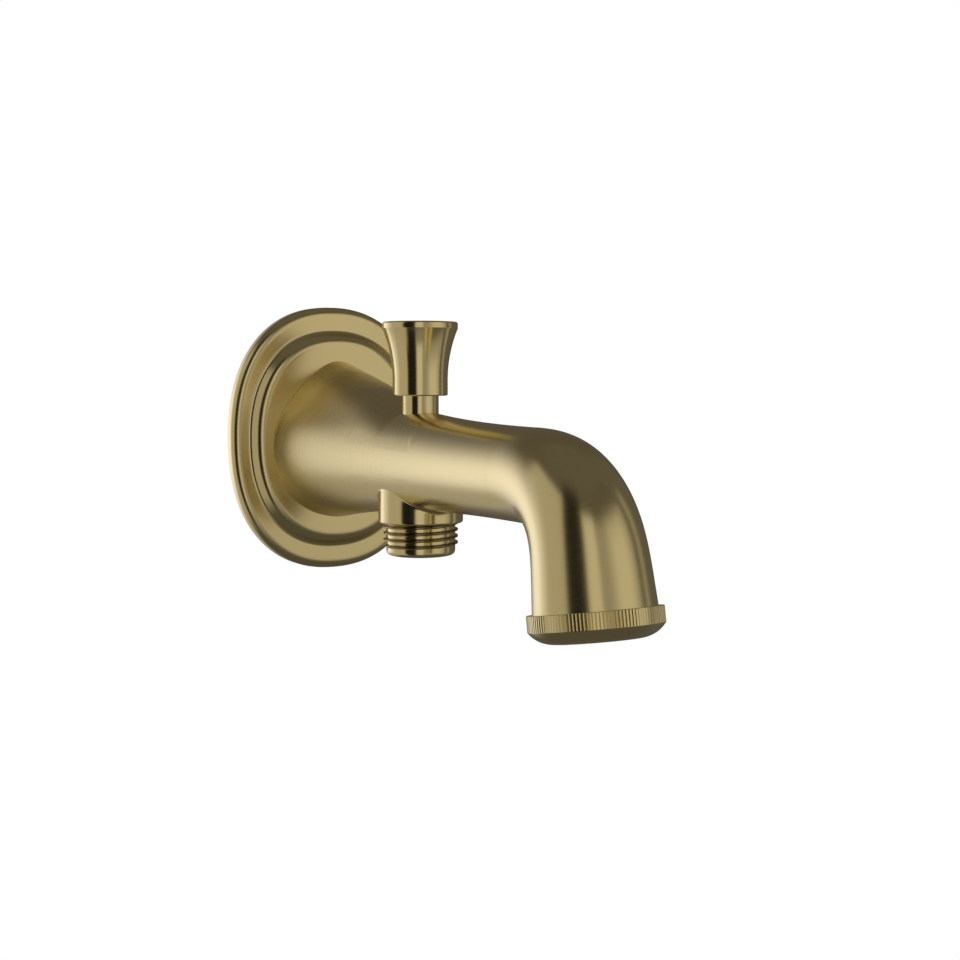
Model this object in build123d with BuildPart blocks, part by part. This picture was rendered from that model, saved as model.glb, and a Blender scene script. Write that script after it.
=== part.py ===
from build123d import *
import os
from math import asin, cos, pi, radians, sin, sqrt, tan

# Bath spout with a pull-up diverter and a hand-shower outlet.
# Millimetres, +Z up. The wall is the plane y = 0 and the spout reaches out to -Y.
# The origin is on the inlet's axis, in the wall plane. "Reach" is a distance from the wall.
# Threads are plain cylinders at their crest radius.

# Clearances, all radial unless they say otherwise
thread_fit = 0.05
running_fit = 0.08
push_fit = 0.03
knob_gap = 0.3
seat_gap = 0.05  # along the lift, between a valve washer and its seat

# Pipe thread G1/2
pipe_thread_radius = 20.955 / 2
thread_chamfer = 1.0
hexagon = 6  # sides of a key's socket, a nut or a honeycomb cell

# Wall flange, an oval plate with a sloped step
flange_height = 82.5
flange_width = 67.2
flange_power = 2.25  # of the ovals: 2 makes an ellipse, more makes squarer corners
flange_points = 32  # on each oval
flange_edge = 5.2  # from the wall to the outer face
flange_edge_round = 2.8
step_side_inset = 5.4  # from the rim to the step's foot, at the sides
step_end_inset = 7.7  # the same at the top and bottom
step_height = 3.4
step_run = 2.5  # from the step's foot in to its upper edge
step_blend = 1.6  # at the foot
step_round = 3.2  # at the upper edge
flange_wall = 1.8
flange_hole_radius = 15

# Body: an egg-shaped root that narrows to a round arm
root_radius = 22
root_axis = -2.5  # height of the root's lower circle
root_round = 0.25
crest_height = 4.9  # how far the root's ridge stands above its lower circle
crest_length = 55  # where the ridge has sunk into the arm
crest_sharpness = 0.5  # radius of the ridge over the radius of the root
waist_radius = 11.75
arm_axis = -4.15  # height of the arm's centre line
flare_power = 2.4
section_points = 16  # on each outline that the body is lofted through
register_length = 2.4  # spigot that centres the flange
register_fit = 0.15

# Elbow and nose
outlet_reach = 152.4
outlet_height = -33
outlet_lean = 10  # degrees, the nose leans away from the wall
elbow_radius = 20.5
nose_wall = 2.35  # metal round the aerator's thread, at the end of the nose
arm_bore_radius = 7

# Diverter axis, boss and valve chamber
diverter_reach = 65.1
boss_wall = 2.83  # metal round the nipple's spigot
boss_bottom = -21
boss_round = 0.7
boss_fillet = 1.2
chamber_web = 4.5  # metal between the chamber and the arm's waterway
lower_seat = -14.8
upper_seat = -2.8
seat_lip = 0.5
seat_lip_width = 1.0
inlet_way_radius = 4.5
link_width = 7
link_height = 4
link_level = 1.4

# Inlet socket and nipple
socket_depth = 24.1
inlet_tail = 15  # thread behind the wall
inlet_tail_start = 0.5  # reach at which the tail's thread begins
inlet_relief_radius = 9.4  # plain barrel between the two threads
inlet_bore_radius = 5.5
inlet_hex = 12  # across flats
inlet_hex_depth = 8
inlet_seal_thickness = 1.5
inlet_seal_hole_radius = 6

# Hand-shower nipple
nipple_bottom = -30.1
nipple_shoulder = 1.0  # step from the chamber to the spigot's bore
nut_room = 0.58  # round the plunger's nut, inside the nipple's bore
nipple_relief_radius = 9.3
nipple_relief_height = 1.2
nipple_hex = 12
nipple_hex_depth = 7
nipple_seal_thickness = 1.0
nipple_seal_overhang = 0.4  # past the shoulder's edge

# Gland, the polished neck
gland_radius = 5.13
gland_bottom = 4
gland_top = 19
gland_flats = 8.6
gland_flats_height = 3
gland_groove_depth = 1.0
gland_groove_width = 1.4
gland_groove_level = 1.6  # above the gland's lower end
gland_ring_radius = 0.45
spindle_groove_depth = 1.2
spindle_groove_width = 1.4
spindle_groove_level = 5  # below the gland's upper end
spindle_ring_radius = 0.55

# Spindle, plunger, washers and nut
spindle_radius = 2.5
spindle_tail = 1.2  # thread below the nut
washer_overlap = 1.42  # past the edge of the upper seat
washer_room = 1.4  # round the washers, inside the chamber
washer_thickness = 1.5
plunger_inset = 0.4  # from the washers' rim
plunger_thickness = 1.0
plunger_hub_radius = 4.6
nut_flats = 8
nut_thickness = 3

# Return spring
spring_wire_radius = 0.4
spring_clear = 0.95  # inside the coil, round the spindle
spring_turns = 6.5
wire_sides = 6  # the thin wire is drawn with flats
spring_end_gap = 0.1

# Knob
knob_bottom = 14.4
knob_height = 20.4
knob_radius = 10.5
knob_band = 1.8
knob_edge_round = 0.6
knob_wall = 2.23  # round the gland
knob_skirt = 4.3
knob_foot_chamfer = 0.3
knob_clear = 0.6  # above the gland, inside the knob
knob_socket_depth = 8.4

# Aerator
ring_step = 1.37  # how far the ring stands out from the nose
ring_height = 3.85
knurl_count = 118
knurl_depth = 0.25
knurl_rim = 0.25  # plain edge below the knurl
lip_depth = 3.1
lip_face_radius = 9.8
lip_overhang = 2.0  # how far the lip reaches under the cartridge
lip_thickness = 1.3
aerator_thread_radius = 12
aerator_thread_length = 7.5
aerator_wall = 1.4
insert_wall = 0.8
insert_disc = 4
honeycomb_hole = 1.35
honeycomb_pitch = 3.1
screen_thickness = 0.6
gasket_thickness = 1.6
gasket_width = 3.45

# Places that follow from the sizes above
flange_face = flange_edge + step_height
rim_half = Vector(flange_width / 2, flange_height / 2)
foot_half = rim_half - Vector(step_side_inset, step_end_inset)
raised_half = foot_half - Vector(step_run, step_run)
hollow_half = Vector(flange_wall, flange_wall)
outlet_radius = aerator_thread_radius + thread_fit + nose_wall
seat_way_radius = gland_radius + thread_fit
washer_radius = seat_way_radius + washer_overlap
plunger_radius = washer_radius - plunger_inset
chamber_radius = washer_radius + washer_room
nipple_spigot_radius = chamber_radius + nipple_shoulder
nipple_seal_hole_radius = chamber_radius - nipple_seal_overhang
nipple_bore_radius = nut_flats / sqrt(3) + nut_room
boss_radius = nipple_spigot_radius + thread_fit + boss_wall
spring_radius = spindle_radius + spring_clear + spring_wire_radius
knob_skirt_radius = gland_radius + knob_gap + knob_wall
ring_radius = outlet_radius + ring_step
aerator_bore_radius = aerator_thread_radius - aerator_wall
lip_opening_radius = aerator_bore_radius - lip_overhang
gasket_hole_radius = aerator_thread_radius - thread_fit - gasket_width
lift_axis = Axis((0, -diverter_reach, 0), (0, 0, 1))
lean = radians(outlet_lean)
turn = pi / 2 - lean
outlet_way = Vector(0, -sin(lean), -cos(lean))
outlet_centre = Vector(0, -outlet_reach, outlet_height)
outlet_axis = Axis(outlet_centre, outlet_way)
elbow_drop = elbow_radius * (1 - cos(turn))
nose_length = (arm_axis - elbow_drop - outlet_height) / cos(lean)
elbow_reach = outlet_reach - nose_length * sin(lean) - elbow_radius * sin(turn)
arm_bore_start = diverter_reach + chamber_radius + chamber_web
chamber_floor = lower_seat - seat_lip + nipple_seal_thickness
stack_bottom = lower_seat + seat_gap
plate_bottom = stack_bottom + washer_thickness
plate_top = plate_bottom + plunger_thickness
stack_top = plate_top + washer_thickness
nut_bottom = stack_bottom - nut_thickness
knob_top = knob_bottom + knob_height
knob_socket_bottom = gland_top + knob_clear
spindle_top = knob_socket_bottom + knob_socket_depth
nose_bore_depth = aerator_thread_length + gasket_thickness

# How far the knob lifts before the upper washer meets its seat
diverter_travel = upper_seat - lower_seat - (stack_top - stack_bottom) - 2 * seat_gap
print("diverter travel", round(diverter_travel, 3))


def facing(reach):
    """Upright plane at this distance from the wall, looking back along the spout's reach."""
    return Plane(origin=(0, -reach, 0), x_dir=(1, 0, 0), z_dir=(0, -1, 0))


def level(height):
    """Flat plane at this height, centred on the diverter's axis."""
    return Plane(origin=(0, -diverter_reach, height), x_dir=(1, 0, 0), z_dir=(0, 0, 1))


def below_outlet(drop):
    """Plane across the outlet, this far below the end of the nose."""
    return Plane(origin=outlet_centre + outlet_way * drop, x_dir=(1, 0, 0), z_dir=outlet_way)


def oval_edge(half):
    """Closed oval of these half sizes: (x / half width)^power + (y / half height)^power = 1."""
    points = []
    for step in range(flange_points):
        across = cos(2 * pi * step / flange_points)
        upward = sin(2 * pi * step / flange_points)
        total = (abs(across) / half.X) ** flange_power + (abs(upward) / half.Y) ** flange_power
        radius = total ** (-1 / flange_power)
        points.append((radius * across, radius * upward))
    return Edge.make_spline(points, periodic=True)


def section_edge(lower, centre, upper, rise):
    """Closed curve round two circles, a lower one and one that stands 'rise' above it, and their tangents.

    Each point lies on a ray from the lower centre: on the lower circle, the tangent or the upper circle.
    """
    tangent_angle = asin((lower - upper) / rise) if rise > 0 else pi / 2
    tangent_length = sqrt(max(rise**2 - (lower - upper) ** 2, 0))
    points = []
    for step in range(section_points):
        angle = 2 * pi * step / section_points
        elevation = asin(sin(angle))
        past = elevation - tangent_angle
        if past <= 0:
            radius = lower
        elif lower * tan(past) <= tangent_length:
            radius = lower / cos(past)
        else:
            radius = rise * sin(elevation) + sqrt(upper**2 - (rise * cos(elevation)) ** 2)
        points.append((radius * cos(angle), centre + radius * sin(angle)))
    return Edge.make_spline(points, periodic=True, parameters=list(range(section_points + 1)))


def arm_section(reach):
    """The body's outline at this reach: the root swells towards the wall and its ridge fades into the arm."""
    along = (reach - flange_face) / (elbow_reach - flange_face)
    swell = (1 - along) ** flare_power
    lower = waist_radius + (root_radius - waist_radius) * swell
    centre = arm_axis + (root_axis - arm_axis) * swell
    fade = min((reach - flange_face) / crest_length, 1)
    upper = lower * (crest_sharpness + (1 - crest_sharpness) * fade)
    rise = lower - upper + crest_height * (1 - fade**2)
    return section_edge(lower, centre, upper, rise)


def nose_section(run):
    """The round outline after this length of elbow and nose: the radius grows evenly to the outlet."""
    share = run / (elbow_radius * turn + nose_length)
    radius = waist_radius + (outlet_radius - waist_radius) * share
    return section_edge(radius, 0, radius, 0)


def nose_plane(run):
    """Plane across the elbow or the nose after this length of centre line."""
    angle = min(run / elbow_radius, turn)
    straight = max(run - elbow_radius * turn, 0)
    reach = elbow_reach + elbow_radius * sin(angle) + straight * cos(angle)
    height = arm_axis - elbow_radius * (1 - cos(angle)) - straight * sin(angle)
    return Plane(origin=(0, -reach, height), x_dir=(1, 0, 0), z_dir=(0, -cos(angle), -sin(angle)))


os.makedirs("parts", exist_ok=True)

# Body: one loft from the root along the arm and the elbow to the nose, then the boss, then the waterways
crest_end = flange_face + crest_length
arm_stations = [flange_face + crest_length * share for share in (0, 0.17, 0.36, 0.58, 0.8, 1)]
arm_stations += [crest_end + (elbow_reach - crest_end) * share for share in (0.33, 0.66, 1)]
elbow_runs = [elbow_radius * turn * share for share in (0.25, 0.5, 0.75, 1)]
nose_runs = elbow_runs + [elbow_radius * turn + nose_length]
with BuildPart() as spout_body:
    for station in arm_stations:
        with BuildSketch(facing(station)):
            with BuildLine():
                add(arm_section(station))
            make_face()
    for run in nose_runs:
        with BuildSketch(nose_plane(run)):
            with BuildLine():
                add(nose_section(run))
            make_face()
    loft()
    root_face = spout_body.faces().sort_by(Axis.Y)[-1]
    fillet(root_face.edges(), root_round)
    # Boss for the hand shower
    with BuildSketch(level(boss_bottom)):
        Circle(boss_radius)
    extrude(amount=arm_axis - boss_bottom - inlet_way_radius)
    boss_root = spout_body.edges(Select.NEW).filter_by(GeomType.BSPLINE)
    fillet(boss_root, boss_fillet)
    boss_face = spout_body.faces().sort_by(Axis.Z).filter_by(Axis.Z)[0]
    fillet(boss_face.edges(), boss_round)
    # Register that centres the flange
    with BuildSketch(facing(flange_face)):
        Circle(flange_hole_radius - register_fit)
    extrude(amount=-register_length)
    # Inlet socket and the slanting way down to the valve chamber
    with BuildSketch(facing(flange_face - register_length)):
        Circle(pipe_thread_radius + thread_fit)
    extrude(amount=socket_depth - flange_face + register_length, mode=Mode.SUBTRACT)
    way_start = Vector(0, -socket_depth + inlet_way_radius, 0)
    way_end = Vector(0, -diverter_reach, (lower_seat + upper_seat) / 2)
    with BuildSketch(Plane(origin=way_start, x_dir=(1, 0, 0), z_dir=way_end - way_start)):
        Circle(inlet_way_radius)
    extrude(amount=(way_end - way_start).length, mode=Mode.SUBTRACT)
    # Bore for the nipple's spigot, valve chamber, and the way up through the upper seat to the gland
    with BuildSketch(level(boss_bottom)):
        Circle(nipple_spigot_radius + thread_fit)
    extrude(amount=chamber_floor - boss_bottom, mode=Mode.SUBTRACT)
    with BuildSketch(level(chamber_floor)):
        Circle(chamber_radius)
    extrude(amount=upper_seat - chamber_floor, mode=Mode.SUBTRACT)
    with BuildSketch(level(upper_seat)):
        Circle(seat_way_radius)
    extrude(amount=gland_top - upper_seat, mode=Mode.SUBTRACT)
    # Link from above the upper seat into the arm's waterway
    link_plane = Plane(origin=(0, -diverter_reach, link_level), x_dir=(1, 0, 0), z_dir=(0, -1, 0))
    with BuildSketch(link_plane):
        SlotOverall(link_width, link_height)
    extrude(amount=arm_bore_start - diverter_reach + link_height, mode=Mode.SUBTRACT)
    # Arm's waterway along the centre line
    with BuildLine(Plane.YZ) as centre_line:
        arm_run = Line((-arm_bore_start, arm_axis), (-elbow_reach, arm_axis))
        bend = JernArc(arm_run @ 1, arm_run % 1, elbow_radius, 90 - outlet_lean)
        Line(bend @ 1, (-outlet_reach, outlet_height))
    with BuildSketch(Plane(origin=(0, -arm_bore_start, arm_axis), x_dir=(1, 0, 0), z_dir=(0, -1, 0))):
        Circle(arm_bore_radius)
    sweep(path=centre_line.wires()[0], mode=Mode.SUBTRACT)
    # Threaded bore for the aerator
    with BuildSketch(below_outlet(0)):
        Circle(aerator_thread_radius + thread_fit)
    extrude(amount=-nose_bore_depth, mode=Mode.SUBTRACT)
spout_body.part.label = "spout_body"
export_step(spout_body.part, "parts/spout_body.step")

# Wall flange: an oval plate with a rounded edge and a sloped step, hollow behind
with BuildPart() as wall_flange:
    with BuildSketch(facing(0)):
        with BuildLine():
            add(oval_edge(rim_half))
        make_face()
    extrude(amount=flange_edge)
    fillet(wall_flange.faces().sort_by(Axis.Y)[0].edges(), flange_edge_round)
    for reach, half in ((flange_edge, foot_half), (flange_face, raised_half)):
        with BuildSketch(facing(reach)):
            with BuildLine():
                add(oval_edge(half))
            make_face()
    loft(ruled=True)
    outer_face = wall_flange.faces().filter_by(Axis.Y).sort_by(Axis.Y)[1]
    foot_edges = outer_face.inner_wires()[0].edges()
    fillet(foot_edges, step_blend)
    fillet(wall_flange.faces().sort_by(Axis.Y)[0].edges(), step_round)
    for half, depth in ((rim_half, flange_edge), (raised_half, flange_face)):
        with BuildSketch(facing(0)):
            with BuildLine():
                add(oval_edge(half - hollow_half))
            make_face()
        extrude(amount=depth - flange_wall, mode=Mode.SUBTRACT)
    with BuildSketch(facing(0)):
        Circle(flange_hole_radius)
    extrude(amount=flange_face, mode=Mode.SUBTRACT)
wall_flange.part.label = "wall_flange"
export_step(wall_flange.part, "parts/wall_flange.step")

# Inlet nipple: threaded tube from the body's socket to behind the wall, with a hexagon for its key
inlet_length = inlet_tail + socket_depth - inlet_seal_thickness
with BuildPart() as inlet_nipple:
    with BuildSketch(facing(-inlet_tail)):
        Circle(pipe_thread_radius)
    extrude(amount=inlet_length)
    chamfer(inlet_nipple.edges().filter_by(GeomType.CIRCLE), thread_chamfer)
    with BuildSketch(facing(inlet_tail_start)):
        Circle(pipe_thread_radius)
        Circle(inlet_relief_radius, mode=Mode.SUBTRACT)
    extrude(amount=flange_face - register_length - inlet_tail_start, mode=Mode.SUBTRACT)
    with BuildSketch(facing(-inlet_tail)):
        Circle(inlet_bore_radius)
    extrude(amount=inlet_length, mode=Mode.SUBTRACT)
    with BuildSketch(facing(-inlet_tail)):
        RegularPolygon(inlet_hex / 2, hexagon, major_radius=False)
    extrude(amount=inlet_hex_depth, mode=Mode.SUBTRACT)
inlet_nipple.part.label = "inlet_nipple"
export_step(inlet_nipple.part, "parts/inlet_nipple.step")

# Flat seal between the nipple and the bottom of the socket
with BuildPart() as inlet_seal:
    with BuildSketch(facing(socket_depth - inlet_seal_thickness)):
        Circle(pipe_thread_radius - thread_fit)
        Circle(inlet_seal_hole_radius, mode=Mode.SUBTRACT)
    extrude(amount=inlet_seal_thickness)
inlet_seal.part.label = "inlet_seal"
export_step(inlet_seal.part, "parts/inlet_seal.step")

# Gland: the neck's bush, with flats for a spanner and a groove for each O-ring
gland_groove_bottom = gland_bottom + gland_groove_level
spindle_groove_top = gland_top - spindle_groove_level
gland_bore_radius = spindle_radius + running_fit
with BuildPart() as diverter_gland:
    with BuildSketch(level(gland_bottom)):
        Circle(gland_radius)
        Circle(gland_bore_radius, mode=Mode.SUBTRACT)
    extrude(amount=gland_top - gland_bottom)
    with BuildSketch(level(gland_groove_bottom)):
        Circle(gland_radius)
        Circle(gland_radius - gland_groove_depth, mode=Mode.SUBTRACT)
    extrude(amount=gland_groove_width, mode=Mode.SUBTRACT)
    with BuildSketch(level(spindle_groove_top)):
        Circle(gland_bore_radius + spindle_groove_depth)
    extrude(amount=-spindle_groove_width, mode=Mode.SUBTRACT)
    with BuildSketch(level(gland_top)):
        Circle(gland_radius)
        Rectangle(2 * gland_radius, gland_flats, mode=Mode.SUBTRACT)
    extrude(amount=-gland_flats_height, mode=Mode.SUBTRACT)
diverter_gland.part.label = "diverter_gland"
export_step(diverter_gland.part, "parts/diverter_gland.step")

# O-ring in the gland's outer groove
gland_ring_level = gland_groove_bottom + gland_groove_width / 2
gland_ring_centre = gland_radius - gland_groove_depth + gland_ring_radius + thread_fit
with BuildPart() as gland_seal:
    with BuildSketch(facing(diverter_reach)):
        with Locations((gland_ring_centre, gland_ring_level)):
            Circle(gland_ring_radius)
    revolve(axis=lift_axis)
gland_seal.part.label = "gland_seal"
export_step(gland_seal.part, "parts/gland_seal.step")

# O-ring round the spindle, in the gland's inner groove
spindle_ring_level = spindle_groove_top - spindle_groove_width / 2
spindle_ring_centre = gland_bore_radius + spindle_groove_depth - spindle_ring_radius - thread_fit
with BuildPart() as spindle_seal:
    with BuildSketch(facing(diverter_reach)):
        with Locations((spindle_ring_centre, spindle_ring_level)):
            Circle(spindle_ring_radius)
    revolve(axis=lift_axis)
spindle_seal.part.label = "spindle_seal"
export_step(spindle_seal.part, "parts/spindle_seal.step")

# Spindle from the nut to the knob
with BuildPart() as diverter_spindle:
    with BuildSketch(level(nut_bottom - spindle_tail)):
        Circle(spindle_radius)
    extrude(amount=spindle_top - nut_bottom + spindle_tail)
    chamfer(diverter_spindle.edges(), knob_foot_chamfer)
diverter_spindle.part.label = "diverter_spindle"
export_step(diverter_spindle.part, "parts/diverter_spindle.step")

# Plunger: a disc with a hub that holds the upper washer and carries the spring
with BuildPart() as valve_plunger:
    with BuildSketch(level(plate_bottom)):
        Circle(plunger_radius)
    extrude(amount=plunger_thickness)
    with BuildSketch(level(plate_top)):
        Circle(plunger_hub_radius)
    extrude(amount=washer_thickness)
    with BuildSketch(level(plate_bottom)):
        Circle(spindle_radius + push_fit)
    extrude(amount=stack_top - plate_bottom, mode=Mode.SUBTRACT)
valve_plunger.part.label = "valve_plunger"
export_step(valve_plunger.part, "parts/valve_plunger.step")

# Upper washer, round the hub
with BuildPart() as upper_valve_washer:
    with BuildSketch(level(plate_top)):
        Circle(washer_radius)
        Circle(plunger_hub_radius + push_fit, mode=Mode.SUBTRACT)
    extrude(amount=washer_thickness)
upper_valve_washer.part.label = "upper_valve_washer"
export_step(upper_valve_washer.part, "parts/upper_valve_washer.step")

# Lower washer, under the disc
with BuildPart() as lower_valve_washer:
    with BuildSketch(level(stack_bottom)):
        Circle(washer_radius)
        Circle(spindle_radius + push_fit, mode=Mode.SUBTRACT)
    extrude(amount=washer_thickness)
lower_valve_washer.part.label = "lower_valve_washer"
export_step(lower_valve_washer.part, "parts/lower_valve_washer.step")

# Nut that clamps the plunger and its lower washer
with BuildPart() as plunger_nut:
    with BuildSketch(level(nut_bottom)):
        RegularPolygon(nut_flats / 2, hexagon, major_radius=False)
        Circle(spindle_radius + push_fit, mode=Mode.SUBTRACT)
    extrude(amount=nut_thickness)
plunger_nut.part.label = "plunger_nut"
export_step(plunger_nut.part, "parts/plunger_nut.step")

# Return spring between the plunger's hub and the gland
spring_bottom = stack_top + spring_end_gap + spring_wire_radius
spring_height = gland_bottom - spring_end_gap - spring_wire_radius - spring_bottom
with BuildPart() as return_spring:
    with BuildLine() as coil:
        Helix(
            pitch=spring_height / spring_turns,
            height=spring_height,
            radius=spring_radius,
            center=(0, -diverter_reach, spring_bottom),
        )
    coil_start = coil.edges()[0]
    with BuildSketch(Plane(origin=coil_start @ 0, z_dir=coil_start % 0)):
        RegularPolygon(spring_wire_radius, wire_sides)
    sweep(path=coil.wires()[0], is_frenet=True)
return_spring.part.label = "return_spring"
export_step(return_spring.part, "parts/return_spring.step")

# Knob: a turned skirt that flares in a hollow curve to a straight band, bored for the gland and the spindle
with BuildPart() as diverter_knob:
    with BuildSketch(facing(diverter_reach)):
        with BuildLine():
            skirt = Line((knob_skirt_radius, knob_bottom), (knob_skirt_radius, knob_bottom + knob_skirt))
            flare = TangentArc(skirt @ 1, (knob_radius, knob_top - knob_band), tangent=(0, 1))
            Polyline(flare @ 1, (knob_radius, knob_top), (0, knob_top), (0, knob_bottom), skirt @ 0)
        make_face()
    revolve(axis=lift_axis)
    fillet(diverter_knob.faces().sort_by(Axis.Z)[-1].edges(), knob_edge_round)
    chamfer(diverter_knob.faces().sort_by(Axis.Z)[0].edges(), knob_foot_chamfer)
    with BuildSketch(level(knob_bottom)):
        Circle(gland_radius + knob_gap)
    extrude(amount=knob_socket_bottom - knob_bottom, mode=Mode.SUBTRACT)
    with BuildSketch(level(knob_socket_bottom)):
        Circle(spindle_radius + push_fit)
    extrude(amount=knob_socket_depth, mode=Mode.SUBTRACT)
diverter_knob.part.label = "diverter_knob"
export_step(diverter_knob.part, "parts/diverter_knob.step")

# Hand-shower nipple: spigot in the boss with the lower seat on top, and the pipe thread below
spigot_top = lower_seat - seat_lip
with BuildPart() as shower_nipple:
    with BuildSketch(level(nipple_bottom)):
        Circle(pipe_thread_radius)
    extrude(amount=boss_bottom - nipple_bottom)
    chamfer(shower_nipple.faces().sort_by(Axis.Z)[0].edges(), thread_chamfer)
    with BuildSketch(level(boss_bottom)):
        Circle(pipe_thread_radius)
        Circle(nipple_relief_radius, mode=Mode.SUBTRACT)
    extrude(amount=-nipple_relief_height, mode=Mode.SUBTRACT)
    with BuildSketch(level(boss_bottom)):
        Circle(nipple_spigot_radius)
    extrude(amount=spigot_top - boss_bottom)
    with BuildSketch(level(spigot_top)):
        Circle(nipple_bore_radius + seat_lip_width)
    extrude(amount=seat_lip)
    with BuildSketch(level(nipple_bottom)):
        Circle(nipple_bore_radius)
    extrude(amount=lower_seat - nipple_bottom, mode=Mode.SUBTRACT)
    with BuildSketch(level(nipple_bottom)):
        RegularPolygon(nipple_hex / 2, hexagon, major_radius=False)
    extrude(amount=nipple_hex_depth, mode=Mode.SUBTRACT)
shower_nipple.part.label = "shower_nipple"
export_step(shower_nipple.part, "parts/shower_nipple.step")

# Flat seal between the spigot and the chamber's shoulder
with BuildPart() as shower_nipple_seal:
    with BuildSketch(level(spigot_top)):
        Circle(nipple_spigot_radius - thread_fit)
        Circle(nipple_seal_hole_radius, mode=Mode.SUBTRACT)
    extrude(amount=nipple_seal_thickness)
shower_nipple_seal.part.label = "shower_nipple_seal"
export_step(shower_nipple_seal.part, "parts/shower_nipple_seal.step")

# Aerator shell: threaded spigot, ring and rounded lip, drawn as radius and drop below the end of the nose
lip_end = ring_height + lip_depth
aerator_plane = Plane(origin=outlet_centre, x_dir=(1, 0, 0), z_dir=(0, cos(lean), -sin(lean)))
with BuildPart() as aerator_shell:
    with BuildSketch(aerator_plane):
        with BuildLine():
            ring_wall = Polyline(
                (aerator_bore_radius, -aerator_thread_length),
                (aerator_thread_radius, -aerator_thread_length),
                (aerator_thread_radius, 0),
                (ring_radius, 0),
                (ring_radius, ring_height),
            )
            dome = TangentArc((lip_face_radius, lip_end), ring_wall @ 1, tangent=(1, 0))
            Polyline(
                dome @ 0,
                (lip_opening_radius, lip_end),
                (lip_opening_radius, lip_end - lip_thickness),
                (aerator_bore_radius, lip_end - lip_thickness),
                ring_wall @ 0,
            )
        make_face()
    revolve(axis=outlet_axis)
    # Straight knurl: right-angled grooves in the ring's wall
    groove_mouth = knurl_depth / 2
    groove_half = knurl_depth + groove_mouth
    with BuildSketch(below_outlet(0)):
        with PolarLocations(ring_radius, knurl_count):
            Polygon((groove_mouth, -groove_half), (groove_mouth, groove_half), (-knurl_depth, 0), align=None)
    extrude(amount=ring_height - knurl_rim, mode=Mode.SUBTRACT)
aerator_shell.part.label = "aerator_shell"
export_step(aerator_shell.part, "parts/aerator_shell.step")

# Aerator cartridge: a cup with a honeycomb outlet
insert_bottom = lip_end - lip_thickness
insert_radius = aerator_bore_radius - thread_fit
insert_top = screen_thickness - aerator_thread_length
with BuildPart() as aerator_insert:
    with BuildSketch(below_outlet(insert_bottom)):
        Circle(insert_radius)
    extrude(amount=insert_top - insert_bottom)
    with BuildSketch(below_outlet(insert_top)):
        Circle(insert_radius - insert_wall)
    extrude(amount=insert_bottom - insert_disc - insert_top, mode=Mode.SUBTRACT)
    with BuildSketch(below_outlet(insert_bottom)):
        RegularPolygon(honeycomb_hole, hexagon)
        with PolarLocations(honeycomb_pitch, hexagon):
            RegularPolygon(honeycomb_hole, hexagon)
        with PolarLocations(2 * honeycomb_pitch, 2 * hexagon):
            RegularPolygon(honeycomb_hole, hexagon)
    extrude(amount=-insert_disc, mode=Mode.SUBTRACT)
aerator_insert.part.label = "aerator_insert"
export_step(aerator_insert.part, "parts/aerator_insert.step")

# Strainer on top of the cartridge
with BuildPart() as aerator_screen:
    with BuildSketch(below_outlet(insert_top)):
        Circle(insert_radius)
        with PolarLocations(honeycomb_pitch, hexagon):
            RegularPolygon(honeycomb_hole, hexagon, mode=Mode.SUBTRACT)
        with PolarLocations(2 * honeycomb_pitch, 2 * hexagon):
            RegularPolygon(honeycomb_hole, hexagon, mode=Mode.SUBTRACT)
    extrude(amount=-screen_thickness)
aerator_screen.part.label = "aerator_screen"
export_step(aerator_screen.part, "parts/aerator_screen.step")

# Flat gasket between the aerator and the nose
with BuildPart() as aerator_gasket:
    with BuildSketch(below_outlet(-aerator_thread_length)):
        Circle(aerator_thread_radius - thread_fit)
        Circle(gasket_hole_radius, mode=Mode.SUBTRACT)
    extrude(amount=-gasket_thickness)
aerator_gasket.part.label = "aerator_gasket"
export_step(aerator_gasket.part, "parts/aerator_gasket.step")
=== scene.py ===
import bmesh
import bpy
import numpy as np
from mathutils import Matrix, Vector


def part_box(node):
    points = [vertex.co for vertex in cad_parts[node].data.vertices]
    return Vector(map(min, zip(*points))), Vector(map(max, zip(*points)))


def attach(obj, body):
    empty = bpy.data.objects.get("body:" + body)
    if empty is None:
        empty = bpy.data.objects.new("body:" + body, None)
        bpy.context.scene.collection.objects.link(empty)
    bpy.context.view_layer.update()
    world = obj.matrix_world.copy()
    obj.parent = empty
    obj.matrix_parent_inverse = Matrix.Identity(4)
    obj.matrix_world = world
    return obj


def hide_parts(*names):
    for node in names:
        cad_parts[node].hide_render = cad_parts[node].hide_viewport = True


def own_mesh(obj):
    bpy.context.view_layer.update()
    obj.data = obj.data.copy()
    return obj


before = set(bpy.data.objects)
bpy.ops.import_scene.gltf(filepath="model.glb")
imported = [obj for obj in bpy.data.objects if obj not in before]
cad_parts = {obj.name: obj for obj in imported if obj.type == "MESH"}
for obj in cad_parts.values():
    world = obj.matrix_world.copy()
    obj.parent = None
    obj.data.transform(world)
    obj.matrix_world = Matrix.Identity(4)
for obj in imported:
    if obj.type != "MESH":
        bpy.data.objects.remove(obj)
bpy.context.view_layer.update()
mm = 0.001  # the shapes below are worked out in millimetres, in the CAD part's own frame
fullTurn = 2 * np.pi
quarterTurn = np.pi / 2
print("frame loaded:", len(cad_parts), "nodes")


# A node's lowest and highest corner, in millimetres
def boxOf(node):
    low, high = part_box(node)
    return np.array(low) / mm, np.array(high) / mm


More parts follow.
